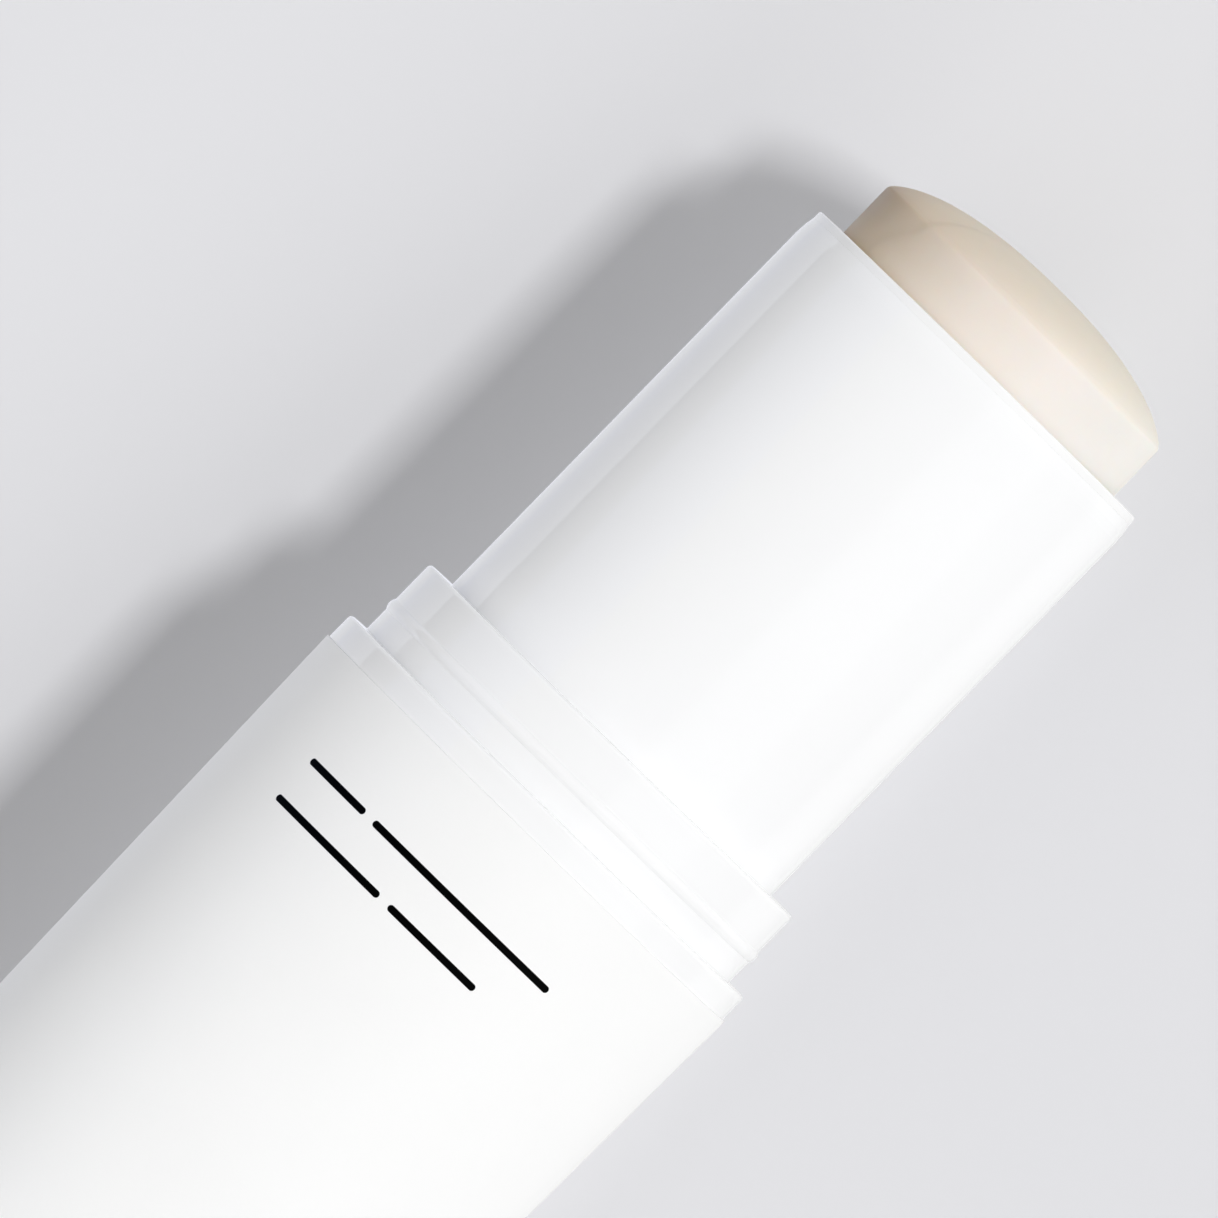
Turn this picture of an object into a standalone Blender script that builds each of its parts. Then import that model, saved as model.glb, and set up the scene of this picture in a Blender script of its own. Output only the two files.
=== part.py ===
"""Twist-up sunscreen stick, standing on its foot with its product raised a few millimetres.

The stick's axis is the Z axis and its foot stands on z = 0. Turning the barrel in the base turns the lead
screw in the fixed nut, and the screw lifts the cup that carries the product. Lengths are in metres.
"""

import math

import bmesh
import bpy
from mathutils import Matrix, Vector

MM = 0.001
GAP = 0.3 * MM

# Outside of the stick, from the foot to the crown
SHELL_TOP_RADIUS = 18.0 * MM
SHELL_TAPER = math.radians(1.06)
SHELL_HEIGHT = 45.4 * MM
FLANGE_RADIUS = 17.84 * MM
FLANGE_TOP = 47.4 * MM
COLLAR_RADIUS = 16.45 * MM
COLLAR_TOP = 53.35 * MM
BEAD_RISE = 0.16 * MM
BEAD_HEIGHT = 0.9 * MM
BEAD_BELOW_COLLAR_TOP = 3.64 * MM
TUBE_RADIUS = 14.48 * MM
LIP_RADIUS = 14.31 * MM
MOUTH_HEIGHT = 87.45 * MM
PRODUCT_RADIUS = 12.3 * MM
PRODUCT_CROWN = 94.63 * MM

# Crown of the product: a flattened ellipse that would reach past the stick's side, which cuts it off
CROWN_REACH = 13.0 * MM
CROWN_DEPTH = 4.5 * MM
CROWN_POWER = 2.3

# The tube's mouth narrows a little towards the lip
LIP_STEP = 0.03 * MM
MOUTH_TAPER = 0.05 * MM
MOUTH_TAPER_HEIGHT = 0.7 * MM

# Walls and floors
SHELL_WALL = 1.3 * MM
SHELL_FLOOR_TOP = 2.4 * MM
FOOT_INNER_RADIUS = 13.3 * MM
FOOT_RECESS = 0.6 * MM
BASE_WALL = 1.2 * MM
BASE_FLOOR = 1.0 * MM
COLLAR_SKIN = 1.0 * MM
COLLAR_SHOULDER = 1.15 * MM
LINER_WALL = 0.8 * MM
RIM_THICKNESS = 0.6 * MM
CUP_WALL = 0.8 * MM
CUP_FLOOR = 1.2 * MM
BOSS_BELOW_RIM = 0.4 * MM
NUT_FLANGE = 1.0 * MM

# Rounded edges
FOOT_ROUNDING = 0.9 * MM
SHELL_RIM_ROUNDING = 0.12 * MM
MOULDED_ROUNDING = 0.5 * MM
EDGE_ROUNDING = 0.3 * MM
LIP_ROUNDING = 0.2 * MM
FILLET = 0.1 * MM

# Bearing between the base and the barrel
BARREL_FOOT = 33.0 * MM
SNAP_RISE = 0.57 * MM
SNAP_TOP = 35.7 * MM
SNAP_HEIGHT = 1.3 * MM
RING_GROOVE_BOTTOM = 40.0 * MM
RING_GROOVE_HEIGHT = 2.0 * MM
RING_GROOVE_DEPTH = 0.82 * MM

# Lift: the cup at rest, how far it travels, and the thread
CUP_BOTTOM = 53.2 * MM
CUP_HEIGHT = 6.2 * MM
TRAVEL_DOWN = 9.0 * MM
TRAVEL_UP = 23.5 * MM
LEAD = 5.0 * MM
STARTS = 2
THREAD_MIDDLE_RADIUS = 2.95 * MM
THREAD_DEPTH = 0.9 * MM
THREAD_CLEARANCE = 0.3 * MM
NUT_HEIGHT = 5.4 * MM
STOP_RADIUS = 4.4 * MM
STOP_THICKNESS = 1.2 * MM
HEAD_HALF_WIDTH = 2.1 * MM
HEAD_HEIGHT = 4.7 * MM
BOSS_RADIUS = 4.6 * MM

# Pillar that carries the nut
PILLAR_BORE_RADIUS = 4.9 * MM
PILLAR_RADIUS = 6.2 * MM
PILLAR_HEAD_RADIUS = 6.8 * MM
PILLAR_HEAD_TAPER = 2.0 * MM
SOCKET_RADIUS = 5.6 * MM

# Keys that stop one piece turning on another: two lugs, two tabs, two nut keys, three pegs, six webs
LUG_WIDTH = 2.0 * MM
LUG_HEIGHT = 3.0 * MM
TAB_WIDTH = 2.4 * MM
TAB_HEIGHT = 1.4 * MM
NUT_KEY_WIDTH = 2.0 * MM
NUT_KEY_HEIGHT = 3.0 * MM
PEG_RADIUS = 1.2 * MM
PEG_CIRCLE_RADIUS = 10.5 * MM
PEG_COUNT = 3
PEG_START = math.radians(30)
WEB_THICKNESS = 1.0 * MM
WEB_HEIGHT = 15.0 * MM
WEB_COUNT = 6
TAB_START = math.radians(90)

# How far a joined block runs into its piece, and a cutter past it
SINK = 0.5 * MM
OVERRUN = 1.0 * MM

# Fineness of the round surfaces
OUTER_SEGMENTS = 48
INNER_SEGMENTS = 36
ARC_STEPS = 2
PEG_SEGMENTS = 12
BEAD_STEPS = 4
CROWN_STEPS = 10
THREAD_POINTS = 16
LEVELS_PER_TURN = 16
SHARP_ANGLE = math.radians(35)

TUBE_BORE_RADIUS = PRODUCT_RADIUS + GAP + LINER_WALL + GAP
FLANGE_BOTTOM = SHELL_HEIGHT + GAP
CUP_INNER_RADIUS = PRODUCT_RADIUS - CUP_WALL
CUP_FLOOR_TOP = CUP_BOTTOM + CUP_FLOOR
CUP_RIM = CUP_BOTTOM + CUP_HEIGHT
BOSS_TOP = CUP_RIM - BOSS_BELOW_RIM
NUT_TOP = CUP_BOTTOM - TRAVEL_DOWN - GAP
NUT_BOTTOM = NUT_TOP - NUT_HEIGHT
PILLAR_TOP = NUT_TOP - NUT_FLANGE - GAP
NUT_RADIUS = SOCKET_RADIUS - GAP
BASE_FLOOR_BOTTOM = SHELL_FLOOR_TOP + GAP
BASE_FLOOR_TOP = BASE_FLOOR_BOTTOM + BASE_FLOOR


def shell_radius(height):
    """Outer radius of the tapered shell at a height."""
    return SHELL_TOP_RADIUS - (SHELL_HEIGHT - height) * math.tan(SHELL_TAPER)


def base_radius(height):
    """Outer radius of the inner base, which follows the inside of the shell."""
    return shell_radius(height) - SHELL_WALL - GAP


def rounded(corners):
    """Points along an outline of (radius, height) corners, with an arc where a third value rounds one."""
    points = []
    for index, corner in enumerate(corners):
        here = Vector(corner[:2])
        rounding = corner[2] if len(corner) > 2 else 0.0
        if rounding == 0.0:
            points.append(here)
            continue
        back = (Vector(corners[index - 1][:2]) - here).normalized()
        ahead = (Vector(corners[(index + 1) % len(corners)][:2]) - here).normalized()
        half_angle = back.angle(ahead) / 2.0
        centre = here + (back + ahead).normalized() * (rounding / math.sin(half_angle))
        start = here + back * (rounding / math.tan(half_angle)) - centre
        sweep = (math.pi - 2.0 * half_angle) * (1.0 if back.cross(ahead) < 0.0 else -1.0)
        for step in range(ARC_STEPS + 1):
            points.append(centre + Matrix.Rotation(sweep * step / ARC_STEPS, 2) @ start)
    return points


def arc(centre, radius, first_angle, last_angle, steps):
    """Points of an arc in the (radius, height) plane, with angles in radians from the outward direction."""
    angles = [first_angle + (last_angle - first_angle) * step / steps for step in range(steps + 1)]
    return [(centre[0] + radius * math.cos(a), centre[1] + radius * math.sin(a)) for a in angles]


def crown_height(radius):
    """Height of the product's crown at a radius, on the flattened ellipse."""
    return PRODUCT_CROWN - CROWN_DEPTH * (1.0 - math.sqrt(1.0 - (radius / CROWN_REACH) ** CROWN_POWER))


def add_object(name, bm):
    """New object from a bmesh, closed, facing out and shaded smooth up to the sharp angle."""
    bmesh.ops.remove_doubles(bm, verts=bm.verts, dist=0.0005 * MM)
    bmesh.ops.dissolve_degenerate(bm, edges=bm.edges, dist=0.0005 * MM)
    bmesh.ops.recalc_face_normals(bm, faces=bm.faces)
    mesh = bpy.data.meshes.new(name)
    bm.to_mesh(mesh)
    bm.free()
    mesh.shade_smooth()
    mesh.set_sharp_from_angle(angle=SHARP_ANGLE)
    obj = bpy.data.objects.new(name, mesh)
    bpy.context.collection.objects.link(obj)
    return obj


def turned(name, outline, segments):
    """Solid of revolution about Z of a closed outline, which may have one side on the axis."""
    bm = bmesh.new()
    verts = [bm.verts.new((radius, 0.0, height)) for radius, height in outline]
    pairs = list(zip(verts, verts[1:]))
    if outline[0][0] > 0.0 or outline[-1][0] > 0.0:
        pairs.append((verts[-1], verts[0]))
    edges = [bm.edges.new(pair) for pair in pairs]
    bmesh.ops.spin(bm, geom=verts + edges, cent=(0, 0, 0), axis=(0, 0, 1), angle=math.tau, steps=segments)
    return add_object(name, bm)


def spokes(name, inner, outer, width, bottom, top, count, first_angle=0.0):
    """Evenly spaced blocks that stand out from the axis, from the inner to the outer radius."""
    bm = bmesh.new()
    size = Matrix.Diagonal((outer - inner, width, top - bottom, 1.0))
    place = Matrix.Translation(((inner + outer) / 2.0, 0.0, (bottom + top) / 2.0))
    for index in range(count):
        turn = Matrix.Rotation(first_angle + math.tau * index / count, 4, "Z")
        bmesh.ops.create_cube(bm, size=1.0, matrix=turn @ place @ size)
    return add_object(name, bm)


def pegs(name, radius, bottom, top):
    """Upright round pegs, evenly spaced on the peg circle about the axis."""
    bm = bmesh.new()
    place = Matrix.Translation((PEG_CIRCLE_RADIUS, 0.0, (bottom + top) / 2.0))
    for index in range(PEG_COUNT):
        turn = Matrix.Rotation(PEG_START + math.tau * index / PEG_COUNT, 4, "Z")
        bmesh.ops.create_cone(bm, cap_ends=True, segments=PEG_SEGMENTS, radius1=radius, radius2=radius,
                              depth=top - bottom, matrix=turn @ place)
    return add_object(name, bm)


def stacked(name, rings):
    """Solid skinned over a stack of rings, each a height and one radius for every equal step of angle."""
    bm = bmesh.new()
    rows = []
    for height, radii in rings:
        steps = [math.tau * index / len(radii) for index in range(len(radii))]
        rows.append([bm.verts.new((r * math.cos(a), r * math.sin(a), height)) for r, a in zip(radii, steps)])
    for low, high in zip(rows, rows[1:]):
        for index in range(len(low)):
            after = (index + 1) % len(low)
            bm.faces.new((low[index], low[after], high[after], high[index]))
    bm.faces.new(rows[0])
    bm.faces.new(rows[-1])
    return add_object(name, bm)


def combine(target, tool, operation):
    """Joins the tool to the target or cuts it away, and keeps the tool as a hidden guide."""
    modifier = target.modifiers.new(tool.name, "BOOLEAN")
    modifier.operation = operation
    modifier.solver = "EXACT"
    modifier.object = tool
    tool.hide_render = True
    tool.display_type = "WIRE"


def finish(obj, colour, roughness):
    """Gives the object its own material."""
    material = bpy.data.materials.new(obj.name)
    material.use_nodes = True
    shader = material.node_tree.nodes["Principled BSDF"]
    shader.inputs["Base Color"].default_value = (*colour, 1.0)
    shader.inputs["Roughness"].default_value = roughness
    shader.inputs["Metallic"].default_value = 0.0
    obj.data.materials.append(material)


def thread_radii(height, clearance=0.0):
    """Radii round the multi-start thread at a height: flat crest, sloped flank and flat root in turn."""
    radii = []
    for index in range(THREAD_POINTS):
        phase = STARTS * (math.tau * index / THREAD_POINTS - math.tau * height / LEAD)
        wave = max(-1.0, min(1.0, math.sqrt(2.0) * math.cos(phase)))
        radii.append(THREAD_MIDDLE_RADIUS + clearance + wave * THREAD_DEPTH / 2.0)
    return radii


def thread_rings(bottom, top, clearance=0.0):
    """Rings of the thread on whole level steps, so that screw and nut share their flanks."""
    step = LEAD / LEVELS_PER_TURN
    first = math.ceil(bottom / step + 0.01)
    last = math.floor(top / step - 0.01)
    heights = [bottom] + [step * level for level in range(first, last + 1)] + [top]
    return [(height, thread_radii(height, clearance)) for height in heights]


def outer_shell():
    """Matte shell: a one-piece tapered cup that stands on a foot ring."""
    outline = rounded([
        (0.0, FOOT_RECESS),
        (FOOT_INNER_RADIUS - FOOT_RECESS, FOOT_RECESS),
        (FOOT_INNER_RADIUS, 0.0),
        (shell_radius(0.0), 0.0, FOOT_ROUNDING),
        (SHELL_TOP_RADIUS, SHELL_HEIGHT, SHELL_RIM_ROUNDING),
        (SHELL_TOP_RADIUS - SHELL_WALL, SHELL_HEIGHT),
        (shell_radius(SHELL_FLOOR_TOP) - SHELL_WALL, SHELL_FLOOR_TOP, MOULDED_ROUNDING),
        (0.0, SHELL_FLOOR_TOP),
    ])
    shell = turned("outer_shell", outline, OUTER_SEGMENTS)
    locators = pegs("shell_pegs", PEG_RADIUS, SHELL_FLOOR_TOP - SINK, BASE_FLOOR_TOP - GAP)
    combine(shell, locators, "UNION")
    finish(shell, (0.86, 0.855, 0.84), 0.5)


def inner_base():
    """Liner of the shell: floor, webs, pillar for the nut, snap groove and the neck the barrel turns in."""
    neck_radius = TUBE_RADIUS + GAP
    groove_radius = neck_radius + RING_GROOVE_DEPTH
    snap_radius = TUBE_RADIUS + SNAP_RISE + GAP
    snap_step = SNAP_TOP + GAP
    snap_bottom = BARREL_FOOT - 2.0 * GAP
    neck_top = SHELL_HEIGHT - GAP
    wall_top = snap_bottom - BASE_WALL
    ring_top = RING_GROOVE_BOTTOM + RING_GROOVE_HEIGHT
    head_bottom = NUT_BOTTOM - GAP - BASE_FLOOR
    outline = rounded([
        (0.0, BASE_FLOOR_BOTTOM),
        (base_radius(BASE_FLOOR_BOTTOM), BASE_FLOOR_BOTTOM, MOULDED_ROUNDING + GAP),
        (base_radius(neck_top), neck_top),
        (neck_radius, neck_top, EDGE_ROUNDING),
        (neck_radius, ring_top),
        (groove_radius, ring_top),
        (groove_radius, RING_GROOVE_BOTTOM),
        (neck_radius, RING_GROOVE_BOTTOM),
        (neck_radius, snap_step),
        (snap_radius, snap_step),
        (snap_radius, snap_bottom),
        (base_radius(wall_top) - BASE_WALL, wall_top),
        (base_radius(BASE_FLOOR_TOP) - BASE_WALL, BASE_FLOOR_TOP, MOULDED_ROUNDING),
        (PILLAR_RADIUS, BASE_FLOOR_TOP, MOULDED_ROUNDING),
        (PILLAR_RADIUS, head_bottom - PILLAR_HEAD_TAPER),
        (PILLAR_HEAD_RADIUS, head_bottom),
        (PILLAR_HEAD_RADIUS, PILLAR_TOP),
        (SOCKET_RADIUS, PILLAR_TOP),
        (SOCKET_RADIUS, NUT_BOTTOM - GAP),
        (PILLAR_BORE_RADIUS, NUT_BOTTOM - GAP),
        (PILLAR_BORE_RADIUS, BASE_FLOOR_TOP),
        (0.0, BASE_FLOOR_TOP),
    ])
    base = turned("inner_base", outline, INNER_SEGMENTS)
    webs = spokes("base_webs", PILLAR_RADIUS - SINK, base_radius(BASE_FLOOR_TOP) - BASE_WALL + SINK,
                  WEB_THICKNESS, BASE_FLOOR_TOP - SINK, BASE_FLOOR_TOP + WEB_HEIGHT, WEB_COUNT)
    combine(base, webs, "UNION")
    peg_holes = pegs("base_peg_holes", PEG_RADIUS + GAP, BASE_FLOOR_BOTTOM - OVERRUN,
                     BASE_FLOOR_TOP + OVERRUN)
    combine(base, peg_holes, "DIFFERENCE")
    key_notches = spokes("pillar_notches", PILLAR_BORE_RADIUS, PILLAR_HEAD_RADIUS + OVERRUN,
                         NUT_KEY_WIDTH + 2.0 * GAP, PILLAR_TOP - NUT_KEY_HEIGHT, PILLAR_TOP + OVERRUN, 2)
    combine(base, key_notches, "DIFFERENCE")
    finish(base, (0.78, 0.78, 0.77), 0.4)


def drive_nut():
    """Fixed nut: a flanged bush with the inside thread and two keys that stand in the pillar's notches."""
    outline = rounded([
        (0.0, NUT_BOTTOM),
        (NUT_RADIUS, NUT_BOTTOM),
        (NUT_RADIUS, NUT_TOP - NUT_FLANGE),
        (PILLAR_HEAD_RADIUS, NUT_TOP - NUT_FLANGE),
        (PILLAR_HEAD_RADIUS, NUT_TOP),
        (0.0, NUT_TOP),
    ])
    nut = turned("drive_nut", outline, INNER_SEGMENTS)
    keys = spokes("nut_keys", NUT_RADIUS - SINK, PILLAR_HEAD_RADIUS - FILLET, NUT_KEY_WIDTH,
                  PILLAR_TOP - NUT_KEY_HEIGHT + GAP, NUT_TOP - NUT_FLANGE / 2.0, 2)
    combine(nut, keys, "UNION")
    tap = stacked("nut_tap", thread_rings(NUT_BOTTOM - OVERRUN, NUT_TOP + OVERRUN, THREAD_CLEARANCE))
    combine(nut, tap, "DIFFERENCE")
    finish(nut, (0.8, 0.8, 0.78), 0.35)


def friction_ring():
    """Soft ring in the neck's groove, which drags on the barrel."""
    bottom = RING_GROOVE_BOTTOM + GAP
    top = RING_GROOVE_BOTTOM + RING_GROOVE_HEIGHT - GAP
    inner = TUBE_RADIUS + GAP
    outer = inner + RING_GROOVE_DEPTH - GAP
    outline = [(inner, bottom), (outer, bottom), (outer, top), (inner, top)]
    ring = turned("friction_ring", outline, INNER_SEGMENTS)
    finish(ring, (0.1, 0.1, 0.1), 0.6)


def barrel():
    """Gloss tube, collar with the cap's snap bead, and flange in one moulding, cored out under the collar."""
    top = MOUTH_HEIGHT - RIM_THICKNESS - GAP
    bead_middle = COLLAR_TOP - BEAD_BELOW_COLLAR_TOP
    bead_radius = (BEAD_HEIGHT ** 2 / 4.0 + BEAD_RISE ** 2) / (2.0 * BEAD_RISE)
    bead_angle = math.asin(BEAD_HEIGHT / 2.0 / bead_radius)
    bead_centre = (COLLAR_RADIUS + BEAD_RISE - bead_radius, bead_middle)
    bead = arc(bead_centre, bead_radius, bead_angle, -bead_angle, BEAD_STEPS)
    core_radius = COLLAR_RADIUS - COLLAR_SKIN
    core_top = COLLAR_TOP - COLLAR_SHOULDER
    outline = rounded([
        (TUBE_BORE_RADIUS, top),
        (LIP_RADIUS - LIP_STEP, top, FILLET),
        (TUBE_RADIUS - MOUTH_TAPER, top - MOUTH_TAPER_HEIGHT),
        (TUBE_RADIUS, top - 2.0 * MOUTH_TAPER_HEIGHT),
        (TUBE_RADIUS, COLLAR_TOP, FILLET),
        (COLLAR_RADIUS, COLLAR_TOP, EDGE_ROUNDING),
        *bead,
        (COLLAR_RADIUS, FLANGE_TOP, FILLET),
        (FLANGE_RADIUS, FLANGE_TOP, EDGE_ROUNDING),
        (FLANGE_RADIUS, FLANGE_BOTTOM),
        (core_radius, FLANGE_BOTTOM),
        (core_radius, core_top),
        (TUBE_RADIUS, core_top),
        (TUBE_RADIUS, SNAP_TOP),
        (TUBE_RADIUS + SNAP_RISE, SNAP_TOP),
        (TUBE_RADIUS + SNAP_RISE, SNAP_TOP - SNAP_HEIGHT),
        (TUBE_RADIUS, BARREL_FOOT),
        (TUBE_BORE_RADIUS, BARREL_FOOT),
    ])
    tube = turned("barrel", outline, OUTER_SEGMENTS)
    notches = spokes("barrel_notches", TUBE_BORE_RADIUS - OVERRUN, TUBE_RADIUS + SNAP_RISE + OVERRUN,
                     TAB_WIDTH + 2.0 * GAP, BARREL_FOOT - OVERRUN, BARREL_FOOT + TAB_HEIGHT + 2.0 * GAP,
                     2, TAB_START)
    combine(tube, notches, "DIFFERENCE")
    finish(tube, (0.9, 0.91, 0.92), 0.08)


def barrel_liner():
    """Sleeve inside the barrel: its rim is the lip of the mouth, and the cup's lugs run in its two slots."""
    bore = PRODUCT_RADIUS + GAP
    outside = bore + LINER_WALL
    foot = BARREL_FOOT + GAP
    outline = rounded([
        (bore, MOUTH_HEIGHT, LIP_ROUNDING),
        (LIP_RADIUS, MOUTH_HEIGHT, LIP_ROUNDING),
        (LIP_RADIUS, MOUTH_HEIGHT - RIM_THICKNESS, FILLET),
        (outside, MOUTH_HEIGHT - RIM_THICKNESS),
        (outside, foot),
        (bore, foot),
    ])
    liner = turned("barrel_liner", outline, OUTER_SEGMENTS)
    slots = spokes("liner_slots", bore - OVERRUN, outside + OVERRUN, LUG_WIDTH + 2.0 * GAP, foot - OVERRUN,
                   CUP_BOTTOM + LUG_HEIGHT + TRAVEL_UP + GAP, 2)
    combine(liner, slots, "DIFFERENCE")
    tabs = spokes("liner_tabs", outside - SINK, TUBE_RADIUS - FILLET, TAB_WIDTH, foot, foot + TAB_HEIGHT,
                  2, TAB_START)
    combine(liner, tabs, "UNION")
    finish(liner, (0.88, 0.89, 0.9), 0.15)


def lift_cup():
    """Cup under the product, with a boss that takes the screw's square head and two lugs in the slots."""
    outline = rounded([
        (0.0, CUP_BOTTOM),
        (PRODUCT_RADIUS, CUP_BOTTOM, MOULDED_ROUNDING),
        (PRODUCT_RADIUS, CUP_RIM),
        (CUP_INNER_RADIUS, CUP_RIM),
        (CUP_INNER_RADIUS, CUP_FLOOR_TOP),
        (BOSS_RADIUS, CUP_FLOOR_TOP),
        (BOSS_RADIUS, BOSS_TOP, EDGE_ROUNDING),
        (0.0, BOSS_TOP),
    ])
    cup = turned("lift_cup", outline, INNER_SEGMENTS)
    lugs = spokes("cup_lugs", PRODUCT_RADIUS - SINK, TUBE_BORE_RADIUS - 1.5 * GAP, LUG_WIDTH,
                  CUP_BOTTOM + MOULDED_ROUNDING, CUP_BOTTOM + LUG_HEIGHT, 2)
    combine(cup, lugs, "UNION")
    half_width = HEAD_HALF_WIDTH + GAP
    socket = spokes("cup_socket", -half_width, half_width, 2.0 * half_width, CUP_BOTTOM - OVERRUN,
                    CUP_BOTTOM + HEAD_HEIGHT, 1)
    combine(cup, socket, "DIFFERENCE")
    finish(cup, (0.85, 0.85, 0.84), 0.35)


def lift_screw():
    """Lead screw: stop disc, multi-start thread and the square head that the cup's boss holds."""
    thread_top = CUP_BOTTOM - GAP
    stop_top = NUT_BOTTOM - GAP - TRAVEL_UP
    disc = [STOP_RADIUS] * THREAD_POINTS
    square = []
    for index in range(THREAD_POINTS):
        angle = math.tau * index / THREAD_POINTS
        square.append(HEAD_HALF_WIDTH / max(abs(math.cos(angle)), abs(math.sin(angle))))
    rings = [(stop_top - STOP_THICKNESS, disc), (stop_top, disc)]
    rings += thread_rings(stop_top, thread_top)
    rings += [(thread_top, square), (thread_top + HEAD_HEIGHT - GAP, square)]
    finish(stacked("lift_screw", rings), (0.82, 0.82, 0.8), 0.3)


def product_stick():
    """Sunscreen: a round stick with a low domed crown, cast round the cup's boss and over its rim."""
    foot_radius = CUP_INNER_RADIUS - GAP
    radii = [PRODUCT_RADIUS * math.cos(math.pi / 2.0 * step / CROWN_STEPS) for step in range(CROWN_STEPS)]
    outline = rounded([
        (0.0, BOSS_TOP + GAP),
        (BOSS_RADIUS + GAP, BOSS_TOP + GAP),
        (BOSS_RADIUS + GAP, CUP_FLOOR_TOP + GAP),
        (foot_radius, CUP_FLOOR_TOP + GAP),
        (foot_radius, CUP_RIM + GAP),
        (PRODUCT_RADIUS, CUP_RIM + GAP),
        (PRODUCT_RADIUS, crown_height(PRODUCT_RADIUS), LIP_ROUNDING),
        *[(radius, crown_height(radius)) for radius in radii[1:]],
        (0.0, PRODUCT_CROWN),
    ])
    finish(turned("product_stick", outline, OUTER_SEGMENTS), (0.72, 0.66, 0.53), 0.45)


def group(name, height, parent, members):
    """Empty on the stick's axis, at a height above its parent, that carries one moving body's pieces."""
    empty = bpy.data.objects.new(name, None)
    empty.location = (0.0, 0.0, height)
    empty.parent = parent
    bpy.context.collection.objects.link(empty)
    bpy.context.view_layer.update()
    for member in members:
        obj = bpy.data.objects[member]
        obj.parent = empty
        obj.matrix_parent_inverse = empty.matrix_world.inverted()
    return empty


def main():
    for obj in list(bpy.data.objects):
        bpy.data.objects.remove(obj, do_unlink=True)
    outer_shell()
    inner_base()
    drive_nut()
    friction_ring()
    barrel()
    barrel_liner()
    lift_cup()
    lift_screw()
    product_stick()
    twist = group("barrel_axis", FLANGE_BOTTOM, None, ["barrel", "barrel_liner"])
    group("lift_axis", CUP_BOTTOM - FLANGE_BOTTOM, twist, ["lift_cup", "lift_screw", "product_stick"])


main()
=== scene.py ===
# %% [markdown]
# # A twist-up sunscreen stick
# The stick is a gloss white barrel that turns in a matte base shell, and a cream stick of sunscreen that
# a lead screw lifts out of the barrel's mouth. Nearly every surface is turned about one axis, so the look
# depends on small things: fillets, thin joint lines, the grain of the plastic and soft light.

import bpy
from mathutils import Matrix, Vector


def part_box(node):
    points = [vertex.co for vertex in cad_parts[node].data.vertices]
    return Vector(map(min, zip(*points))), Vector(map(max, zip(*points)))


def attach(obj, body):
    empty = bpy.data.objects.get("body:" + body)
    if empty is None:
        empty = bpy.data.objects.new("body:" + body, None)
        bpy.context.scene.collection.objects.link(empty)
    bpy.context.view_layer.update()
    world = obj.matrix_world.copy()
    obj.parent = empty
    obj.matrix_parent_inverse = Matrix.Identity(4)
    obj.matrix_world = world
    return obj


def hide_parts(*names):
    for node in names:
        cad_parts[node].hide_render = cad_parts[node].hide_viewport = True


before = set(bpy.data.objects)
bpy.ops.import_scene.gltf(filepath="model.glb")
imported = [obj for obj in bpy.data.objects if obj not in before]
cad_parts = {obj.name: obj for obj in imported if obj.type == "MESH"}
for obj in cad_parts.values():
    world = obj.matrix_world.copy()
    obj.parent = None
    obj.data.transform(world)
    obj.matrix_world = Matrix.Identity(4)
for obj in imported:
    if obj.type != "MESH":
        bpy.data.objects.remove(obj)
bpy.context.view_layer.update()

# %% [markdown]
# Lengths are written in millimetres times MM, because the frame is in metres. A few sizes are read from the
# frame, so that the fine surfaces stay on the solids that they stand for.

# %% Sizes read from the frame
import math

import bmesh
import bpy
import numpy as np
from mathutils import Matrix, Vector

MM = 0.001


def box(node):
    """Lowest and highest corner of a node, as two arrays."""
    low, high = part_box(node)
    return np.array(low), np.array(high)


shell_high = box("outer_shell")[1]
barrel_low = box("barrel")[0]
liner_low, liner_high = box("barrel_liner")
product_low, product_high = box("product_stick")
cup_high = box("lift_cup")[1]

shell_top_radius = shell_high[0]
shell_height = shell_high[2]
mouth_height = liner_high[2]
product_radius = product_high[0]
crown_height = product_high[2]
print("shell", shell_top_radius / MM, "mouth", mouth_height / MM, "crown", crown_height / MM)

# %% [markdown]
# The camera looks level at the front of the stick and is rolled, so that the stick leans across a square
# picture. It stands far away behind a long lens, because the picture shows almost no perspective. A tripod
# turned by hand would do the same. Here the roll is one rotation, so the stick itself can stay upright.

# %% Camera
VIEW_CENTRE = Vector((-6.08, 0.0, 59.35)) * MM
VIEW_WIDTH = 79.15 * MM
CAMERA_ROLL = math.radians(44.3)
CAMERA_RISE = 11.7 * MM
LENS = 1000.0
SENSOR = 36.0
# The camera sees from a tenth of its distance to ten times that distance
CLIP_FACTOR = 10.0

distance = VIEW_WIDTH * LENS / SENSOR
camera_data = bpy.data.cameras.new("camera")
camera_data.lens = LENS
camera_data.sensor_width = SENSOR
camera_data.clip_start = distance / CLIP_FACTOR
camera_data.clip_end = distance * CLIP_FACTOR
camera = bpy.data.objects.new("camera", camera_data)
bpy.context.collection.objects.link(camera)
camera.location = VIEW_CENTRE + Vector((0.0, -distance, CAMERA_RISE))
level = (VIEW_CENTRE - camera.location).to_track_quat("-Z", "Y").to_matrix()
camera.rotation_euler = (level @ Matrix.Rotation(CAMERA_ROLL, 3, "Z")).to_euler()
bpy.context.scene.camera = camera
bpy.context.scene.view_settings.view_transform = "Standard"
print("camera at", round(distance, 3), "m")

# %% [markdown]
# Node trees are long to write by hand. These two helpers make a node with its settings and inputs in one
# call, and a node group whose sockets have names. An input may be a number, a colour or another socket.

# %% Node helpers


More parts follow.
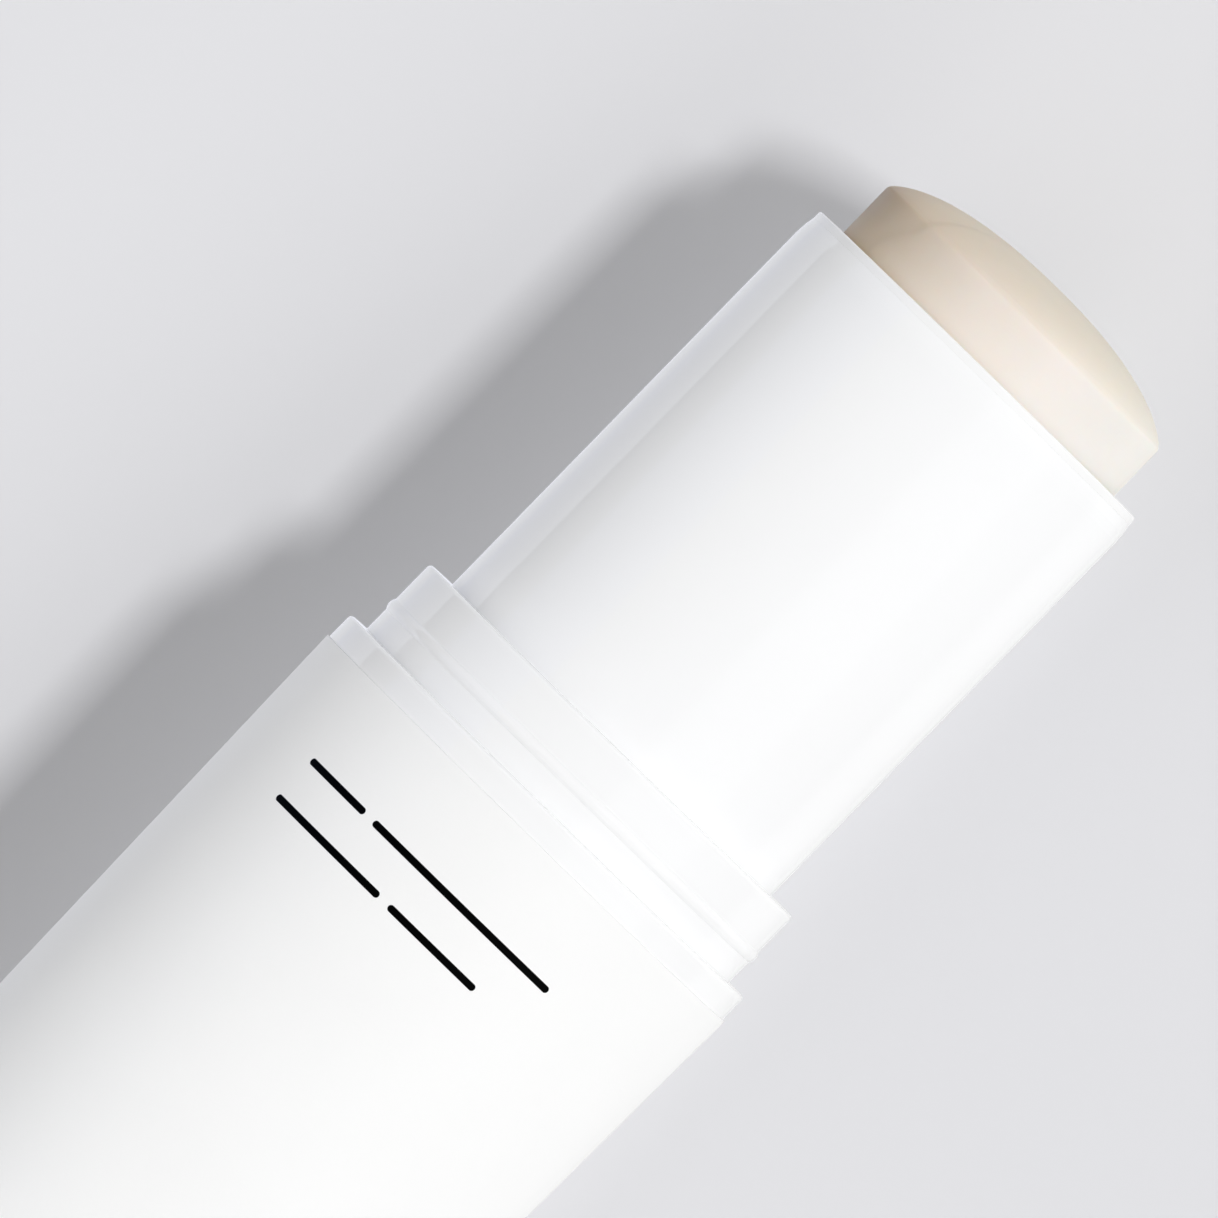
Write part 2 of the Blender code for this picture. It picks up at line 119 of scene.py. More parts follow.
def node(tree, kind, inputs=None, **settings):
    """New node in a tree. Each input is a plain value or the output socket that feeds it."""
    made = tree.nodes.new(kind)
    for name, value in settings.items():
        setattr(made, name, value)
    for name, value in (inputs or {}).items():
        if isinstance(value, bpy.types.NodeSocket):
            tree.links.new(value, made.inputs[name])
        else:
            made.inputs[name].default_value = value
    return made


def math_node(tree, operation, *values):
    """Output of one Math node."""
    return node(tree, "ShaderNodeMath", dict(enumerate(values)), operation=operation).outputs[0]


def blend_value(tree, mask, first, second):
    """Output of a Mix node for numbers: first where the mask is 0 and second where it is 1."""
    return node(tree, "ShaderNodeMix", {0: mask, 2: first, 3: second}, data_type="FLOAT").outputs[0]


def blend_colour(tree, mask, first, second):
    """Output of a Mix node for colours: first where the mask is 0 and second where it is 1."""
    return node(tree, "ShaderNodeMix", {0: mask, 6: first, 7: second}, data_type="RGBA").outputs[2]


def smooth_step(tree, value, low, high):
    """Output that rises smoothly from 0 at low to 1 at high. With low above high it falls."""
    inputs = {"Value": value, "From Min": low, "From Max": high, "To Min": 0.0, "To Max": 1.0}
    return node(tree, "ShaderNodeMapRange", inputs, interpolation_type="SMOOTHSTEP").outputs[0]


def new_group(name, takes, gives):
    """Node group with named inputs (name: (socket type, default)) and outputs (name: socket type)."""
    group = bpy.data.node_groups.new(name, "ShaderNodeTree")
    for label, (kind, default) in takes.items():
        group.interface.new_socket(label, in_out="INPUT", socket_type=kind).default_value = default
    for label, kind in gives.items():
        group.interface.new_socket(label, in_out="OUTPUT", socket_type=kind)
    return group, group.nodes.new("NodeGroupInput").outputs, group.nodes.new("NodeGroupOutput").inputs


NUMBER = "NodeSocketFloat"
COLOUR = "NodeSocketColor"

# %% [markdown]
# The studio round the stick is a ring of large pale panels, seen from above: one in front on the left, a
# darker gap round the camera, a bright wall on the right and a room behind. Lamps could stand for each of
# them. A world shader does it with less noise: it works out the angle of a ray round the stick's axis, with
# 0 towards the camera and a quarter turn on its right, and looks up how bright the room is there. A panel
# may be brighter towards its top or its foot. Mirror-like rays see a ring of their own, because the gloss
# of the barrel shows a window with crisp sides on the right, and a cool wall on the left.

# %% Studio round the stick
ROOM_GREY = (0.753, 0.753, 0.776, 1.0)
# Going round from behind on the left: the angle in degrees where each panel ends, its brightness, and how
# much brighter it gets from level to straight up
LIGHT_PANELS = ((-55, 0.0, 0.0), (-10, 0.765, -0.56), (26, 0.0, 0.0),
                (54, 1.43, 0.4), (66, 0.21, 0.4), (95, 0.48, -0.9), (180, 1.0, 0.0))
BRIGHTEST = 2.0
# The same for reflections, with how cool the panel's white is
MIRROR_PANELS = ((-150, 0.98, 0.1), (-116, 0.97, 0.22), (-92, 0.17, 0.78), (-47, 0.62, 0.56),
                 (18, 0.42, 0.0), (66, 0.88, 0.0), (110, 0.5, 0.0), (145, 0.95, 0.0), (180, 0.85, 0.0))
# Half the width of the step from one panel to the next, in degrees
PANEL_EDGE = 1.5
MIRROR_EDGE = 0.6
# The change that full coolness makes to red, green and blue
COOL_SHARES = (-1.0, -0.8, 0.0)


def ring_of_panels(tree, angle, ends, values, edge):
    """Value by angle: a colour ramp that steps from panel to panel over twice the edge, in degrees.

    A place on the ramp is the angle's share of a whole turn, plus a half.
    """
    part = math_node(tree, "MULTIPLY_ADD", angle, 1.0 / math.tau, 0.5)
    ramp = node(tree, "ShaderNodeValToRGB", {"Fac": part})
    stops = ramp.color_ramp.elements
    places = [(-180.0, values[0])]
    for end, before, after in zip(ends, values, values[1:]):
        places += [(end - edge, before), (end + edge, after)]
    places.append((180.0, values[-1]))
    while len(stops) < len(places):
        stops.new(1.0)
    for stop, (place, value) in zip(stops, places):
        stop.position = place / 360.0 + 0.5
        stop.color = (*value, 1.0) if isinstance(value, tuple) else (value, value, value, 1.0)
    return ramp.outputs["Color"]


def cool(level, coolness):
    """Colour of a level of white, with some of its red and green taken out."""
    return tuple(level * (1.0 + coolness * share) for share in COOL_SHARES)


world = bpy.data.worlds.new("studio")
world.use_nodes = True
bpy.context.scene.world = world
tree = world.node_tree
tree.nodes.clear()
direction = node(tree, "ShaderNodeSeparateXYZ", {0: node(tree, "ShaderNodeTexCoord").outputs["Generated"]})
towards_camera = math_node(tree, "MULTIPLY", direction.outputs["Y"], -1.0)
round_angle = math_node(tree, "ARCTAN2", direction.outputs["X"], towards_camera)
ends, levels, slants = zip(*LIGHT_PANELS)
# A ramp holds values from 0 to 1 only, so brightness and slant are stored in that range and spread again
level = ring_of_panels(tree, round_angle, ends, [value / BRIGHTEST for value in levels], PANEL_EDGE)
slant = ring_of_panels(tree, round_angle, ends, [0.5 + value / 2.0 for value in slants], PANEL_EDGE)
slant = math_node(tree, "MULTIPLY_ADD", slant, 2.0, -1.0)
slanted = math_node(tree, "MULTIPLY_ADD", slant, direction.outputs["Z"], 1.0)
slanted = math_node(tree, "MULTIPLY", slanted, BRIGHTEST)
ends, levels, coolness = zip(*MIRROR_PANELS)
mirrored = ring_of_panels(tree, round_angle, ends, [cool(*pair) for pair in zip(levels, coolness)],
                          MIRROR_EDGE)
ray = node(tree, "ShaderNodeLightPath")
lit = node(tree, "ShaderNodeBackground", {"Color": level, "Strength": slanted})
glossy = node(tree, "ShaderNodeBackground", {"Color": mirrored})
behind = node(tree, "ShaderNodeBackground", {"Color": ROOM_GREY})
room = node(tree, "ShaderNodeMixShader", {0: ray.outputs["Is Glossy Ray"], 1: lit.outputs[0],
                                          2: glossy.outputs[0]})
seen = node(tree, "ShaderNodeMixShader", {0: ray.outputs["Is Camera Ray"], 1: room.outputs[0],
                                          2: behind.outputs[0]})
node(tree, "ShaderNodeOutputWorld", {"Surface": seen.outputs[0]})
print("panels", len(LIGHT_PANELS), "for light,", len(MIRROR_PANELS), "for reflections")

# %% [markdown]
# The lamps stand in that ring. The softbox on the right is the main light. It is short along the stick, so
# that the stick's shadow has a rounded end beside the mouth. Two large cards on the left lift the shaded
# side of the white plastic, and one overhead lifts the rounded edges of its ledges. Light linking keeps the
# three off the product, as a small flag beside the mouth would, because the cream looks flat when its
# shaded side is filled. Three small cards light the product alone: a warm one on its shaded side and a cool
# one on its bright side, because a camera shows shaded cream warmer and bright cream paler than they are,
# and one that lifts the crown from behind. A weak twin of the softbox lights the backdrop alone, which
# deepens the stick's shadow on it.

# %% Lamps
WHITE = (1.0, 1.0, 1.0)
SOFTBOX = {"angle": 23.0, "rise": 12.7, "distance": 2.0, "width": 0.25, "height": 0.45, "power": 17.1}
TWIN_POWER = 2.4
LEFT_CARD = {"angle": -80.0, "rise": 2.0, "distance": 1.5, "width": 1.4, "height": 3.6, "power": 14.9}
REAR_CARD = {"angle": -140.0, "rise": 0.0, "distance": 1.5, "width": 2.1, "height": 3.6, "power": 7.0}
CARD = {"distance": 1.0, "width": 0.4, "height": 0.4}
OVERHEAD_CARD = {**CARD, "angle": 0.0, "rise": 82.0, "power": 0.9}
WARM_CARD = {**CARD, "angle": -40.0, "rise": 40.0, "power": 1.6, "colour": (1.0, 0.52, 0.0)}
COOL_CARD = {**CARD, "angle": 40.0, "rise": 5.0, "power": 1.05, "colour": (0.0, 0.2, 1.0)}
TOP_CARD = {**CARD, "angle": 110.0, "rise": 40.0, "power": 0.7, "colour": (0.75, 1.0, 0.3)}


def lamp(name, angle, rise, distance, width, height, power, colour=WHITE):
    """Area lamp that faces the stick from an angle round it and a rise above it, both in degrees."""
    data = bpy.data.lights.new(name, "AREA")
    data.shape = "RECTANGLE"
    data.size = width
    data.size_y = height
    data.energy = power
    data.color = colour
    made = bpy.data.objects.new(name, data)
    bpy.context.collection.objects.link(made)
    angle, rise = math.radians(angle), math.radians(rise)
    out = Vector((math.sin(angle) * math.cos(rise), -math.cos(angle) * math.cos(rise), math.sin(rise)))
    made.location = VIEW_CENTRE + out * distance
    made.rotation_euler = out.to_track_quat("Z", "Y").to_euler()
    made.visible_glossy = False
    print(name, power, "W at", distance, "m")
    return made


def light_link(lamps, piece, state):
    """Makes lamps light only a piece, with the state INCLUDE, or everything but it, with EXCLUDE."""
    linked = bpy.data.collections.new(f"{piece.name} {state.lower()}")
    linked.objects.link(piece)
    linked.collection_objects[0].light_linking.link_state = state
    for each in lamps:
        each.light_linking.receiver_collection = linked


lamp("softbox", **SOFTBOX)
twin = lamp("softbox_twin", **{**SOFTBOX, "power": TWIN_POWER})
large_cards = [lamp("left_card", **LEFT_CARD), lamp("rear_card", **REAR_CARD),
               lamp("overhead_card", **OVERHEAD_CARD)]
small_cards = [lamp("warm_card", **WARM_CARD), lamp("cool_card", **COOL_CARD),
               lamp("top_card", **TOP_CARD)]

# %% [markdown]
# A grid surface is the workhorse here. Its points are one array of rows by columns, worked out all at once,
# and its faces join each point to its neighbours. A turned piece is the grid of an outline carried round
# the axis. Rows that meet on the axis are merged afterwards, so the poles are closed.

# %% Grid surfaces
SHARP_ANGLE = math.radians(32.0)
MERGE_DISTANCE = 0.0002 * MM


def grid_faces(rows, columns, wrap_rows):
    """Four-sided faces of a grid whose columns always wrap round, as an array of point numbers."""
    row = np.arange(rows if wrap_rows else rows - 1)[:, None]
    column = np.arange(columns)[None, :]
    after_row, after_column = (row + 1) % rows, (column + 1) % columns
    corners = (row * columns + column, row * columns + after_column,
               after_row * columns + after_column, after_row * columns + column)
    return np.stack(np.broadcast_arrays(*corners), axis=-1).reshape(-1, 4)


def add_surface(name, parts, body, replaced=()):
    """Piece from (points, faces, edge mask) parts: merged, facing out, smooth, riding on its body.

    The edge mask is a number at each point, 1 on a rounded edge and 0 on open faces, kept as an attribute.
    """
    mesh = bpy.data.meshes.new(name)
    offsets = np.cumsum([0] + [len(points) for points, _, _ in parts])
    points = np.concatenate([points for points, _, _ in parts])
    faces = np.concatenate([faces + offset for (_, faces, _), offset in zip(parts, offsets)])
    mesh.from_pydata(points.tolist(), [], faces.tolist())
    mesh.attributes.new("edge", "FLOAT", "POINT").data.foreach_set(
        "value", np.concatenate([mask for _, _, mask in parts]).astype(np.float32))
    tidy = bmesh.new()
    tidy.from_mesh(mesh)
    bmesh.ops.remove_doubles(tidy, verts=tidy.verts, dist=MERGE_DISTANCE)
    bmesh.ops.dissolve_degenerate(tidy, edges=tidy.edges, dist=MERGE_DISTANCE)
    bmesh.ops.recalc_face_normals(tidy, faces=tidy.faces)
    open_edges = sum(not edge.is_manifold for edge in tidy.edges)
    tidy.to_mesh(mesh)
    tidy.free()
    mesh.shade_smooth()
    mesh.set_sharp_from_angle(angle=SHARP_ANGLE)
    piece = bpy.data.objects.new(name, mesh)
    bpy.context.collection.objects.link(piece)
    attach(piece, body)
    if replaced:
        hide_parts(*replaced)
    print(f"{name}: {len(mesh.polygons)} faces, {open_edges} open edges")
    return piece


# %% [markdown]
# An outline is written as its corners, each a radius and a height, and a third number rounds a corner. Real
# mouldings have no razor edges, and the thin bright lines on them are light caught by these roundings. Two
# extra points beside each arc hold the shading flat on the open faces.

# %% Outlines
ARC_STEPS = 6
# How far past an arc its extra points stand, as a share of the rounding
HELD_SHARE = 0.6
# The most of a side that they may use
SIDE_SHARE = 0.45
FINE_POINTS = 192


def rounded(corners):
    """Closed outline from corners: points as (radius, height) rows, and the edge mask of each point.

    At a rounded corner the arc's centre lies on the bisector of the two sides, at the rounding divided by
    the sine of half the corner's angle, and the arc turns in equal steps from one side to the other.
    """
    points, mask = [], []
    for index, corner in enumerate(corners):
        here = np.array(corner[:2])
        if len(corner) < 3:
            points.append(here[None])
            mask.append(np.zeros(1))
            continue
        back = np.array(corners[index - 1][:2]) - here
        ahead = np.array(corners[(index + 1) % len(corners)][:2]) - here
        back_length, ahead_length = np.linalg.norm(back), np.linalg.norm(ahead)
        back, ahead = back / back_length, ahead / ahead_length
        half = math.acos(np.clip(back @ ahead, -1.0, 1.0)) / 2.0
        bisector = (back + ahead) / np.linalg.norm(back + ahead)
        centre = here + bisector * corner[2] / math.sin(half)
        reach = corner[2] / math.tan(half)
        turn = math.copysign(math.pi - 2.0 * half, ahead[0] * back[1] - ahead[1] * back[0])
        angles = np.linspace(0.0, turn, ARC_STEPS + 1)
        x, y = here + back * reach - centre
        arc = centre + np.stack([x * np.cos(angles) - y * np.sin(angles),
                                 x * np.sin(angles) + y * np.cos(angles)], axis=1)
        held = reach + corner[2] * HELD_SHARE
        before = [here + back * held] if held < back_length * SIDE_SHARE else []
        after = [here + ahead * held] if held < ahead_length * SIDE_SHARE else []
        points += [*(p[None] for p in before), arc, *(p[None] for p in after)]
        mask += [np.zeros(len(before)), np.ones(len(arc)), np.zeros(len(after))]
    return np.concatenate(points), np.concatenate(mask)


def turned(outline, mask, angles, wrap_rows=True):
    """Grid of an outline carried round the Z axis, at the given angles."""
    radius, height = outline[:, :1], outline[:, 1:]
    grid = np.stack(np.broadcast_arrays(radius * np.cos(angles), radius * np.sin(angles), height), axis=-1)
    faces = grid_faces(len(outline), len(angles), wrap_rows)
    return grid, faces, np.repeat(mask, len(angles))


def as_part(grid, faces, mask):
    """Grid flattened to the points, faces and mask that add_surface takes."""
    return grid.reshape(-1, 3), faces, mask


FINE_TURN = np.linspace(0.0, math.tau, FINE_POINTS, endpoint=False)
print("points round a fine piece", len(FINE_TURN))

# %% [markdown]
# The outer shell is a one-piece moulded cup with a slight taper, which lets it leave the mould. Its rim
# has a tiny rounding and its foot a larger one, round a recessed floor. Three pegs on the floor locate the
# inner base. A turned outline gives all of it but the pegs, which are small turned pieces of their own.

# %% Outer shell
SHELL_TAPER = math.radians(1.06)
SHELL_WALL = 1.3 * MM
SHELL_FLOOR = 2.4 * MM
FOOT_INNER_RADIUS = 13.3 * MM
FOOT_RECESS = 0.6 * MM
FOOT_ROUNDING = 0.9 * MM
FOOT_INNER_ROUNDING = 0.2 * MM
RECESS_ROUNDING = 0.3 * MM
RIM_ROUNDING = 0.03 * MM
RIM_INNER_ROUNDING = 0.12 * MM
FLOOR_ROUNDING = 0.5 * MM
PEG_COUNT = 3
PEG_START = math.radians(30.0)
PEG_CIRCLE_RADIUS = 10.5 * MM
PEG_RADIUS = 1.2 * MM
PEG_TOP = 3.4 * MM
PEG_SINK = 0.5 * MM
PEG_ROUNDING = 0.3 * MM
PEG_POINTS = 32


def shell_radius(height):
    """Outer radius of the shell at a height: the top radius less the taper's share."""
    return shell_top_radius - (shell_height - height) * math.tan(SHELL_TAPER)


def peg(centre, turn):
    """Small round peg: a turned outline with a rounded top, moved to its centre."""
    bottom = SHELL_FLOOR - PEG_SINK
    outline, mask = rounded([(0.0, bottom), (PEG_RADIUS, bottom), (PEG_RADIUS, PEG_TOP, PEG_ROUNDING),
                             (0.0, PEG_TOP)])
    grid, faces, mask = turned(outline, mask, turn, wrap_rows=False)
    return as_part(grid + np.array(centre), faces, mask)


outline, mask = rounded([
    (0.0, FOOT_RECESS),
    (FOOT_INNER_RADIUS - FOOT_RECESS, FOOT_RECESS, RECESS_ROUNDING),
    (FOOT_INNER_RADIUS, 0.0, FOOT_INNER_ROUNDING),
    (shell_radius(0.0), 0.0, FOOT_ROUNDING),
    (shell_top_radius, shell_height, RIM_ROUNDING),
    (shell_top_radius - SHELL_WALL, shell_height, RIM_INNER_ROUNDING),
    (shell_radius(SHELL_FLOOR) - SHELL_WALL, SHELL_FLOOR, FLOOR_ROUNDING),
    (0.0, SHELL_FLOOR),
])
shell_part = as_part(*turned(outline, mask, FINE_TURN, wrap_rows=False))
peg_angles = PEG_START + np.arange(PEG_COUNT) * math.tau / PEG_COUNT
peg_turn = np.linspace(0.0, math.tau, PEG_POINTS, endpoint=False)
peg_parts = [peg((PEG_CIRCLE_RADIUS * math.cos(a), PEG_CIRCLE_RADIUS * math.sin(a), 0.0), peg_turn)
             for a in peg_angles]
shell = add_surface("shell", [shell_part], "base", ["outer_shell"])
locators = add_surface("shell_locators", peg_parts, "base")

# %% [markdown]
# The barrel and the liner have notches and slots in their ends. They could be cut out with a Boolean, which
# leaves ragged faces. Here points are moved instead: inside a notch's angles, nothing is lower than the
# notch's top. The grid gets two columns close together at each side of a slot, so that its walls are steep.

# %% Slots and beads
STEP_WIDTH = 0.01 * MM
QUARTER = math.pi / 2.0
NOTCH_PLACES = (QUARTER, 3.0 * QUARTER)
SLOT_PLACES = (0.0, math.pi)


def half_width(width, radius):
    """Half the angle that a slot spans: its sine is half the slot's width over the radius."""
    return math.asin(width / 2.0 / radius)


def turn_with_slots(angles, places, width, radius):
    """Angles round the axis in order, with two close ones at each side of every slot."""
    half = half_width(width, radius)
    slack = STEP_WIDTH / radius
    sides = [place + side * (half + more) for place in places for side in (-1, 1) for more in (0.0, slack)]
    return np.sort(np.mod(np.concatenate([angles, sides]), math.tau))


def inside_slots(angles, places, width, radius):
    """Which angles lie in a slot: no further from its place than half its width and a quarter step."""
    nearest = np.min([np.abs((angles - place + math.pi) % math.tau - math.pi) for place in places], axis=0)
    return nearest <= half_width(width, radius) + STEP_WIDTH / radius / 4.0


def bead_arc(middle, rise, height, radius, steps):
    """Half-round bead on a wall: an arc through the wall at both ends that stands out by the rise.

    The arc's radius is half the height squared, plus the rise squared, over twice the rise.
    """
    bend = (height ** 2 / 4.0 + rise ** 2) / (2.0 * rise)
    angles = np.linspace(1.0, -1.0, steps) * math.asin(height / 2.0 / bend)
    return np.stack([radius + rise - bend + bend * np.cos(angles), middle + bend * np.sin(angles)], axis=1)


print("notches at", [round(math.degrees(place)) for place in NOTCH_PLACES], "degrees")

# %% [markdown]
# The barrel is one gloss moulding: the tube, the collar that the cap pushes over, with its half-round snap
# bead, and the flange that meets the shell. Under the collar it is cored out, so that the plastic has one
# thickness and doesn't sink. Its foot has a snap bead that clicks under a step in the base, and two notches
# that key the liner. The joint to the shell is a gap of microns, which shows as a thin dark line.

# %% Barrel
TUBE_RADIUS = 14.48 * MM
COLLAR_RADIUS = 16.45 * MM
FLANGE_RADIUS = 17.84 * MM
COLLAR_TOP = 53.35 * MM
FLANGE_TOP = 47.4 * MM
JOINT_GAP = 0.004 * MM
SEAM_GAP = 0.002 * MM
TIGHT_EDGE = 0.01 * MM
LIP_RADIUS = liner_high[0]
RIM_THICKNESS = 0.6 * MM
TUBE_BORE = 13.7 * MM
BEAD_HEIGHT = 0.9 * MM
BEAD_RISE = 0.16 * MM
BEAD_MIDDLE = 49.71 * MM
BEAD_POINTS = 9
CORE_RADIUS = 15.45 * MM
CORE_TOP = 52.2 * MM
SNAP_RADIUS = 15.05 * MM
SNAP_TOP = 35.7 * MM
SNAP_HEIGHT = 1.3 * MM
NOTCH_TOP = 35.0 * MM
NOTCH_WIDTH = 3.0 * MM
EDGE = 0.3 * MM
FILLET = 0.05 * MM
# The tube narrows a little below its end, over two soft corners
MOUTH_TAPER = 0.05 * MM
TAPER_ENDS = (0.7 * MM, 1.4 * MM)
TAPER_ROUNDING = 0.5 * MM

tube_top = mouth_height - RIM_THICKNESS - SEAM_GAP
upper = [
    (TUBE_BORE, tube_top),
    (LIP_RADIUS, tube_top),
    (TUBE_RADIUS - MOUTH_TAPER, tube_top - TAPER_ENDS[0], TAPER_ROUNDING),
    (TUBE_RADIUS, tube_top - TAPER_ENDS[1], TAPER_ROUNDING),
    (TUBE_RADIUS, COLLAR_TOP, FILLET),
    (COLLAR_RADIUS, COLLAR_TOP, EDGE),
    (COLLAR_RADIUS, BEAD_MIDDLE + BEAD_HEIGHT / 2.0 + FILLET),
]
lower = [
    (COLLAR_RADIUS, BEAD_MIDDLE - BEAD_HEIGHT / 2.0 - FILLET),
    (COLLAR_RADIUS, FLANGE_TOP, FILLET),
    (FLANGE_RADIUS, FLANGE_TOP, EDGE),
    (FLANGE_RADIUS, shell_height + JOINT_GAP, TIGHT_EDGE),
    (CORE_RADIUS, shell_height + JOINT_GAP),
    (CORE_RADIUS, CORE_TOP, EDGE),
    (TUBE_RADIUS, CORE_TOP),
    (TUBE_RADIUS, SNAP_TOP),
    (SNAP_RADIUS, SNAP_TOP),
    (SNAP_RADIUS, SNAP_TOP - SNAP_HEIGHT),
    (TUBE_RADIUS, barrel_low[2]),
    (TUBE_BORE, barrel_low[2]),
]
bead = bead_arc(BEAD_MIDDLE, BEAD_RISE, BEAD_HEIGHT, COLLAR_RADIUS, BEAD_POINTS)
outline, mask = rounded([*upper, *bead.tolist(), *lower])
angles = turn_with_slots(FINE_TURN, NOTCH_PLACES, NOTCH_WIDTH, TUBE_RADIUS)
in_notch = inside_slots(angles, NOTCH_PLACES, NOTCH_WIDTH, TUBE_RADIUS)
grid, faces, mask = turned(outline, mask, angles)
grid[..., 2] = np.where(in_notch, np.maximum(grid[..., 2], NOTCH_TOP), grid[..., 2])
barrel = add_surface("barrel_moulding", [as_part(grid, faces, mask)], "barrel", ["barrel"])

# %% [markdown]
# The liner is the sleeve that the product slides in. Its thin rim covers the barrel's end and makes the lip
# of the mouth. Two long slots guide the lugs of the cup, and two tabs at its foot seat in the barrel's
# notches. Slots are made as the notches were, and the tabs by a larger radius inside their angles.

# %% Liner
LINER_BORE = 12.6 * MM
LINER_OUTSIDE = 13.4 * MM
LINER_SLOT_TOP = 80.0 * MM
LINER_SLOT_WIDTH = 2.6 * MM
TAB_TOP = liner_low[2] + 1.4 * MM
TAB_RADIUS = 14.38 * MM
TAB_WIDTH = 2.4 * MM
LIP_ROUNDING = 0.16 * MM

outline, mask = rounded([
    (LINER_BORE, mouth_height, LIP_ROUNDING),
    (LIP_RADIUS, mouth_height, LIP_ROUNDING),
    (LIP_RADIUS, mouth_height - RIM_THICKNESS),
    (LINER_OUTSIDE, mouth_height - RIM_THICKNESS),
    (LINER_OUTSIDE, TAB_TOP + STEP_WIDTH),
    (LINER_OUTSIDE, TAB_TOP),
    (LINER_OUTSIDE, liner_low[2]),
    (LINER_BORE, liner_low[2]),
])
angles = turn_with_slots(FINE_TURN, NOTCH_PLACES, TAB_WIDTH, TAB_RADIUS)
angles = turn_with_slots(angles, SLOT_PLACES, LINER_SLOT_WIDTH, LINER_BORE)
in_tab = inside_slots(angles, NOTCH_PLACES, TAB_WIDTH, TAB_RADIUS)
in_slot = inside_slots(angles, SLOT_PLACES, LINER_SLOT_WIDTH, LINER_BORE)
grid, faces, mask = turned(outline, mask, angles)
radius = np.hypot(grid[..., 0], grid[..., 1])
outer_rows = radius > (LINER_BORE + LINER_OUTSIDE) / 2.0
tab_rows = outer_rows & (grid[..., 2] < TAB_TOP + STEP_WIDTH / 2.0)
stretch = np.where(tab_rows & in_tab, TAB_RADIUS / LINER_OUTSIDE, 1.0)
grid[..., :2] *= stretch[..., None]
grid[..., 2] = np.where(in_slot, np.maximum(grid[..., 2], LINER_SLOT_TOP), grid[..., 2])
liner = add_surface("liner", [as_part(grid, faces, mask)], "barrel", ["barrel_liner"])

# %% [markdown]
# The product is a cast stick of wax. Its crown is a low dome that falls away faster towards the shoulder,
# like part of a flattened ellipse. Casting leaves the wall a little uneven: a few waves of different
# lengths are taken off it, hundredths of a millimetre deep. A soft crease runs from the wall over the
# shoulder onto the crown, where the wax shrank away from the mould. It is a step in the surface along a
# line, steep on one side and fading out on the other, so the columns of the grid stand closer there.

# %% Product
CROWN_REACH = 13.0 * MM
CROWN_DEPTH = 4.5 * MM
CROWN_POWER = 2.3
CROWN_RINGS = 60
SHOULDER_ROUNDING = 0.5 * MM
WALL_ROWS = 60
# Waves in the skin: how many go round the stick, how far each turns over the pitch, and where it starts
SKIN_WAVES = ((3, 0.9, 0.3), (5, 2.1, 1.7), (7, 3.6, 4.0), (11, 5.5, 2.2))
SKIN_PITCH = 10.0 * MM
SKIN_AMPLITUDE = 0.012 * MM
# More than the waves add up to, so that the skin is always a dent
SKIN_OFFSET = 2.2
# Points further out than this share of the radius are on the wall
WALL_SHARE = 0.98
CREASE_DEPTH = 0.055 * MM
CREASE_HALF_WIDTH = 0.45 * MM
CREASE_FADE = 4.0 * MM
# The crease's line: its angle from the front at a radius on the crown, and at a height on the wall
CREASE_ON_CROWN = ((5.0 * MM, -50.0), (8.0 * MM, -44.5), (12.3 * MM, -44.5))
CREASE_ON_WALL = ((70.0 * MM, -75.0), (88.8 * MM, -56.6), (91.0 * MM, -46.0))
# Where it fades in, by radius on the crown and by height on the wall
CREASE_CROWN_FADE = (3.0 * MM, 6.0 * MM)
CREASE_WALL_FADE = (72.0 * MM, 86.0 * MM)
SHOULDER_MARGIN = 0.05 * MM
# The closer columns, as angles from the X axis
CREASE_COLUMNS = np.radians(np.arange(-165.0, -125.0, 0.4))
# The product's foot fills the cup: inside its wall, and round the boss in its middle
RIM_GAP = 0.3 * MM
RIM_ROUND = 0.2 * MM
CUP_WALL_RADIUS = 11.2 * MM
BOSS_RADIUS = 4.9 * MM
BOSS_TOP = 59.3 * MM
# How far above the cup's rim the wall's rows end, and below the shoulder the foot's outline starts
WALL_END = 1.0 * MM
FOOT_START = 0.15 * MM


def crown_drop(radius):
    """How far the crown lies below its top at a radius: a quarter of a flattened ellipse."""
    share = np.clip(radius / CROWN_REACH, 0.0, 1.0)
    return CROWN_DEPTH * (1.0 - np.sqrt(1.0 - share ** CROWN_POWER))


def crown_profile(steps):
    """Crown from its centre to the shoulder, as (radius, height) rows that get closer towards the edge."""
    radius = product_radius * np.sin(np.linspace(0.0, math.pi / 2.0, steps))
    return np.stack([radius, crown_height - crown_drop(radius)], axis=1)


def eased(value, start, end):
    """Goes from 0 at start to 1 at end along the curve three t squared less two t cubed."""
    part = np.clip((value - start) / (end - start), 0.0, 1.0)
    return part * part * (3.0 - 2.0 * part)


def crease_depth(x, y, z):
    """Depth of the crease: a step down across its line, which then rises again over the fade's width."""
    radius = np.hypot(x, y)
    on_wall = z < crown_height - crown_drop(product_radius) - SHOULDER_MARGIN
    line = np.where(on_wall, np.interp(z, *zip(*CREASE_ON_WALL)),
                    np.interp(radius, *zip(*CREASE_ON_CROWN)))
    across = (np.arctan2(x, -y) - np.radians(line)) * radius
    step = eased(across, CREASE_HALF_WIDTH, -CREASE_HALF_WIDTH) * eased(across, -CREASE_FADE, 0.0)
    return CREASE_DEPTH * step * eased(radius, *CREASE_CROWN_FADE) * eased(z, *CREASE_WALL_FADE)


